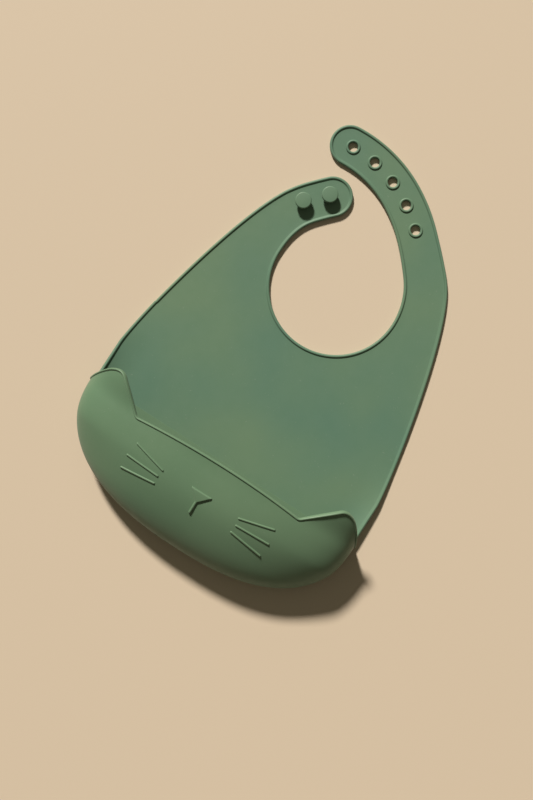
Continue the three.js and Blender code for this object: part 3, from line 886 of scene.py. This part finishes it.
def make_pocket():
    """The pocket's shell, and the bead that runs along its lip and over its ears."""
    bm = bmesh.new()
    mouth = outer_surface(bm)
    normals = []
    for point in mouth:
        nearest = min(bm.verts, key=lambda vert: (vert.co - point).length_squared)
        normals.append(nearest.normal.copy())
    thicken(bm, SKIN)
    nodes = ["pocket_back", "pocket_side_left", "pocket_side_right", "pocket_bottom"]
    nodes += ["pocket_front", "ear_left", "ear_right"]
    shell = ride_on_pocket(new_object("pocket_shell", bm), nodes)
    middles = [point - normal * SKIN * LIP_SINK for point, normal in zip(mouth, normals)]
    bead = new_object("lip_bead", tube(middles, normals, LIP_HALF_WIDTH, LIP_HALF_HEIGHT))
    return [shell, ride_on_pocket(bead, ["pocket_lip"])]


# ------------------------------------------------------------------ the raised face


def make_rib(name, start, end, nodes):
    """A raised line on the front, from one plan point to another."""
    start, end = np.array(start) * MM, np.array(end) * MM
    direction = (end - start) / np.hypot(*(end - start))
    side = np.array((-direction[1], direction[0]))
    length = np.hypot(*(end - start))
    sections = []
    last = length / MM
    middle = np.linspace(RIB_EVEN_FROM, last - RIB_EVEN_FROM, 14)
    for place in np.concatenate((RIB_END_STEPS, middle, last - RIB_END_STEPS[::-1])) * MM:
        to_end = min(place, length - place)
        fullness = math.sqrt(max(RIB_BLUNTNESS, 1 - max(0, 1 - to_end / RIB_HALF_WIDTH) ** 2))
        ring = []
        for angle in np.radians(np.linspace(0, 180, 9)):
            plan = start + direction * place + side * RIB_HALF_WIDTH * fullness * math.cos(angle)
            ring.append(front_point(plan, RIB_HEIGHT * fullness * math.sin(angle) ** RIB_POWER))
        for across in (-1, 1):
            plan = start + direction * place + side * RIB_HALF_WIDTH * fullness * across
            ring.append(front_point(plan, -RIB_DEPTH))
        sections.append(ring)
    return ride_on_pocket(new_object(name, loft(sections)), nodes)


def make_whiskers():
    pieces = []
    for i, (inner, outer) in enumerate(WHISKERS, 1):
        for side, sign in (("left", -1), ("right", 1)):
            start, end = (inner[0] * sign, inner[1]), (outer[0] * sign, outer[1])
            pieces.append(make_rib(f"whisker_rib_{side}_{i}", start, end, [f"whisker_{side}_{i}"]))
    return pieces


def nose_half_width(y):
    """Half the nose's width at a height y: a triangle on a stem with a round foot."""
    across = (y - NOSE_NECK_Y) / (NOSE_TOP_Y - NOSE_NECK_Y)
    half = max(NOSE_HALF_STEM, mix(NOSE_HALF_STEM, NOSE_HALF_TOP, across))
    ends = ((y - NOSE_FOOT_Y, NOSE_HALF_STEM), (NOSE_TOP_Y - y, NOSE_CORNER))
    for to_end, rounding in ends:
        short = min(1, max(0, 1 - to_end / rounding))
        half -= rounding * (1 - math.sqrt(1 - short**2))
    return half


def make_nose():
    """A low plateau on the front, rounded off towards its outline."""
    rows = [NOSE_FOOT_Y + step * MM for step in NOSE_END_STEPS]
    rows += list(even(NOSE_FOOT_Y + MM, NOSE_TOP_Y - MM, NOSE_STEP))
    rows += [NOSE_TOP_Y - step * MM for step in NOSE_END_STEPS[::-1]]
    across = np.sin(np.linspace(-math.pi / 2, math.pi / 2, 25))
    sections = []
    for y in rows:
        half = nose_half_width(y)
        ring = [front_point((-half, y), -RIB_DEPTH)]
        for part in across:
            inset = min(half * (1 - abs(part)), y - NOSE_FOOT_Y, NOSE_TOP_Y - y)
            short = max(0, 1 - inset / NOSE_ROUND)
            ring.append(front_point((part * half, y), NOSE_HEIGHT * math.sqrt(1 - short**2)))
        ring.append(front_point((half, y), -RIB_DEPTH))
        sections.append(ring)
    return [ride_on_pocket(new_object("nose_rib", loft(sections)), ["nose"])]


# ------------------------------------------------------------------ materials


class Nodes:
    """Short calls for wiring a material's nodes."""

    def __init__(self, name):
        self.material = bpy.data.materials.new(name)
        self.material.use_nodes = True
        self.tree = self.material.node_tree
        self.tree.nodes.clear()

    def add(self, kind, inputs=None, **settings):
        node = self.tree.nodes.new(kind)
        for key, value in settings.items():
            setattr(node, key, value)
        for key, value in (inputs or {}).items():
            if isinstance(value, bpy.types.NodeSocket):
                self.tree.links.new(value, node.inputs[key])
            else:
                node.inputs[key].default_value = value
        return node

    def noise(self, place, scale, detail=3.0, roughness=0.55):
        inputs = {"Vector": place, "Scale": scale, "Detail": detail, "Roughness": roughness}
        return self.add("ShaderNodeTexNoise", inputs).outputs["Fac"]

    def span(self, value, low, high, to_low, to_high):
        inputs = {"Value": value, "From Min": low, "From Max": high, "To Min": to_low, "To Max": to_high}
        return self.add("ShaderNodeMapRange", inputs).outputs["Result"]

    def blended(self, part, first, second):
        """A colour between two others, each of them a socket or an RGB triple."""
        node = self.add("ShaderNodeMix", {"Factor": part}, data_type="RGBA")
        sockets = [socket for socket in node.inputs if socket.type == "RGBA"]
        for socket, colour in zip(sockets, (first, second)):
            if isinstance(colour, bpy.types.NodeSocket):
                self.tree.links.new(colour, socket)
            else:
                socket.default_value = (*colour, 1)
        return next(socket for socket in node.outputs if socket.type == "RGBA")

    def finished(self, colour, roughness, inputs=None):
        """The material, its surface wired to a shader with this colour and roughness."""
        look = {"Base Color": colour, "Roughness": roughness, **(inputs or {})}
        shader = self.add("ShaderNodeBsdfPrincipled", look)
        out = self.add("ShaderNodeOutputMaterial")
        self.tree.links.new(shader.outputs["BSDF"], out.inputs["Surface"])
        return self.material


def silicone(name, pale, deep, roughness):
    """Matte moulded silicone: slow drifts of tone, a fine satin grain and a few specks of dust."""
    n = Nodes(name)
    place = n.add("ShaderNodeAttribute", attribute_name="rest").outputs["Vector"]
    drift = n.noise(place, scale=9.0, detail=2.0)
    mottle = n.noise(place, scale=160.0, detail=4.0)
    grain = n.noise(place, scale=1400.0, detail=3.0)
    dust = n.noise(place, scale=700.0, detail=1.0)
    tone = n.blended(n.span(drift, 0.35, 0.65, 0.0, 1.0), deep, pale)
    dusted = n.blended(n.span(dust, 0.74, 0.8, 0.0, 0.12), tone, DUST)
    rough = n.span(mottle, 0.3, 0.7, roughness - 0.06, roughness + 0.06)
    bump = n.add("ShaderNodeBump", {"Height": grain, "Strength": 0.25, "Distance": 0.05 * MM})
    return n.finished(dusted, rough, {
        "IOR": 1.42,
        "Normal": bump.outputs["Normal"],
        "Sheen Weight": 0.08,
        "Sheen Roughness": 0.5,
    })


def paint(pieces, material):
    for piece in pieces:
        piece.data.materials.clear()
        piece.data.materials.append(material)


# ------------------------------------------------------------------ floor, light and camera


def aim(obj, target):
    obj.rotation_mode = "QUATERNION"
    obj.rotation_quaternion = (Vector(target) - obj.location).to_track_quat("-Z", "Y")


def make_floor():
    size = FLOOR_HALF_SIZE
    mesh = bpy.data.meshes.new("floor")
    corners = [(-size, -size, 0), (size, -size, 0), (size, size, 0), (-size, size, 0)]
    mesh.from_pydata(corners, [], [(0, 1, 2, 3)])
    floor = bpy.data.objects.new("floor", mesh)
    floor.location.z = -FLOOR_GAP
    bpy.context.scene.collection.objects.link(floor)
    mesh.materials.append(Nodes("pale_floor").finished((*FLOOR_COLOUR, 1), roughness=0.7))


def make_light():
    """A warm, slightly soft key from the upper left, and the sky's fill."""
    light = bpy.data.lights.new("key", "SUN")
    light.angle = KEY_SIZE
    light.energy = KEY_ENERGY
    light.color = KEY_COLOUR
    key = bpy.data.objects.new("key", light)
    key.location = KEY_FROM
    bpy.context.scene.collection.objects.link(key)
    aim(key, (0, 0, 0))
    make_sky()


def make_sky():
    """A faint warm fill that is brightest overhead and fades out towards the horizon."""
    world = bpy.data.worlds.new("studio")
    world.use_nodes = True
    tree = world.node_tree
    background = tree.nodes["Background"]
    background.inputs["Color"].default_value = (*SKY_COLOUR, 1)
    place = tree.nodes.new("ShaderNodeTexCoord")
    split = tree.nodes.new("ShaderNodeSeparateXYZ")
    strength = tree.nodes.new("ShaderNodeMapRange")
    strength.interpolation_type = "SMOOTHSTEP"
    strength.inputs["To Min"].default_value = SKY_AT_HORIZON
    strength.inputs["To Max"].default_value = SKY_OVERHEAD
    tree.links.new(place.outputs["Generated"], split.inputs["Vector"])
    tree.links.new(split.outputs["Z"], strength.inputs["Value"])
    tree.links.new(strength.outputs["Result"], background.inputs["Strength"])
    bpy.context.scene.world = world


def make_camera():
    """A camera that looks straight down, turned about its own axis."""
    camera = bpy.data.objects.new("camera", bpy.data.cameras.new("camera"))
    bpy.context.scene.collection.objects.link(camera)
    camera.location = CAMERA_PLACE
    camera.rotation_euler = (0, 0, CAMERA_ROLL)
    camera.data.sensor_width = CAMERA_SENSOR
    camera.data.lens = CAMERA_LENS
    camera.data.shift_x, camera.data.shift_y = CAMERA_SHIFT
    bpy.context.scene.camera = camera


# ------------------------------------------------------------------ the bib

flat_pieces = make_flat_pieces()
eyelets = make_eyelets()
studs = make_studs()
lower_panel = make_lower_panel()
pocket = make_pocket()
face = make_whiskers() + make_nose()

sheet_silicone = silicone("sheet_silicone", *SHEET_TONES, roughness=0.52)
# the pocket and its face get the lighter copy of the silicone: painted light for the sheen on the front
pocket_silicone_painted_lighter = silicone("pocket_silicone_painted_lighter", *POCKET_TONES_PAINTED_LIGHTER, roughness=0.50)
paint(flat_pieces + eyelets + studs + lower_panel, sheet_silicone)
paint(pocket + face, pocket_silicone_painted_lighter)

make_floor()
make_light()
make_camera()
bpy.context.scene.view_settings.view_transform = "Standard"
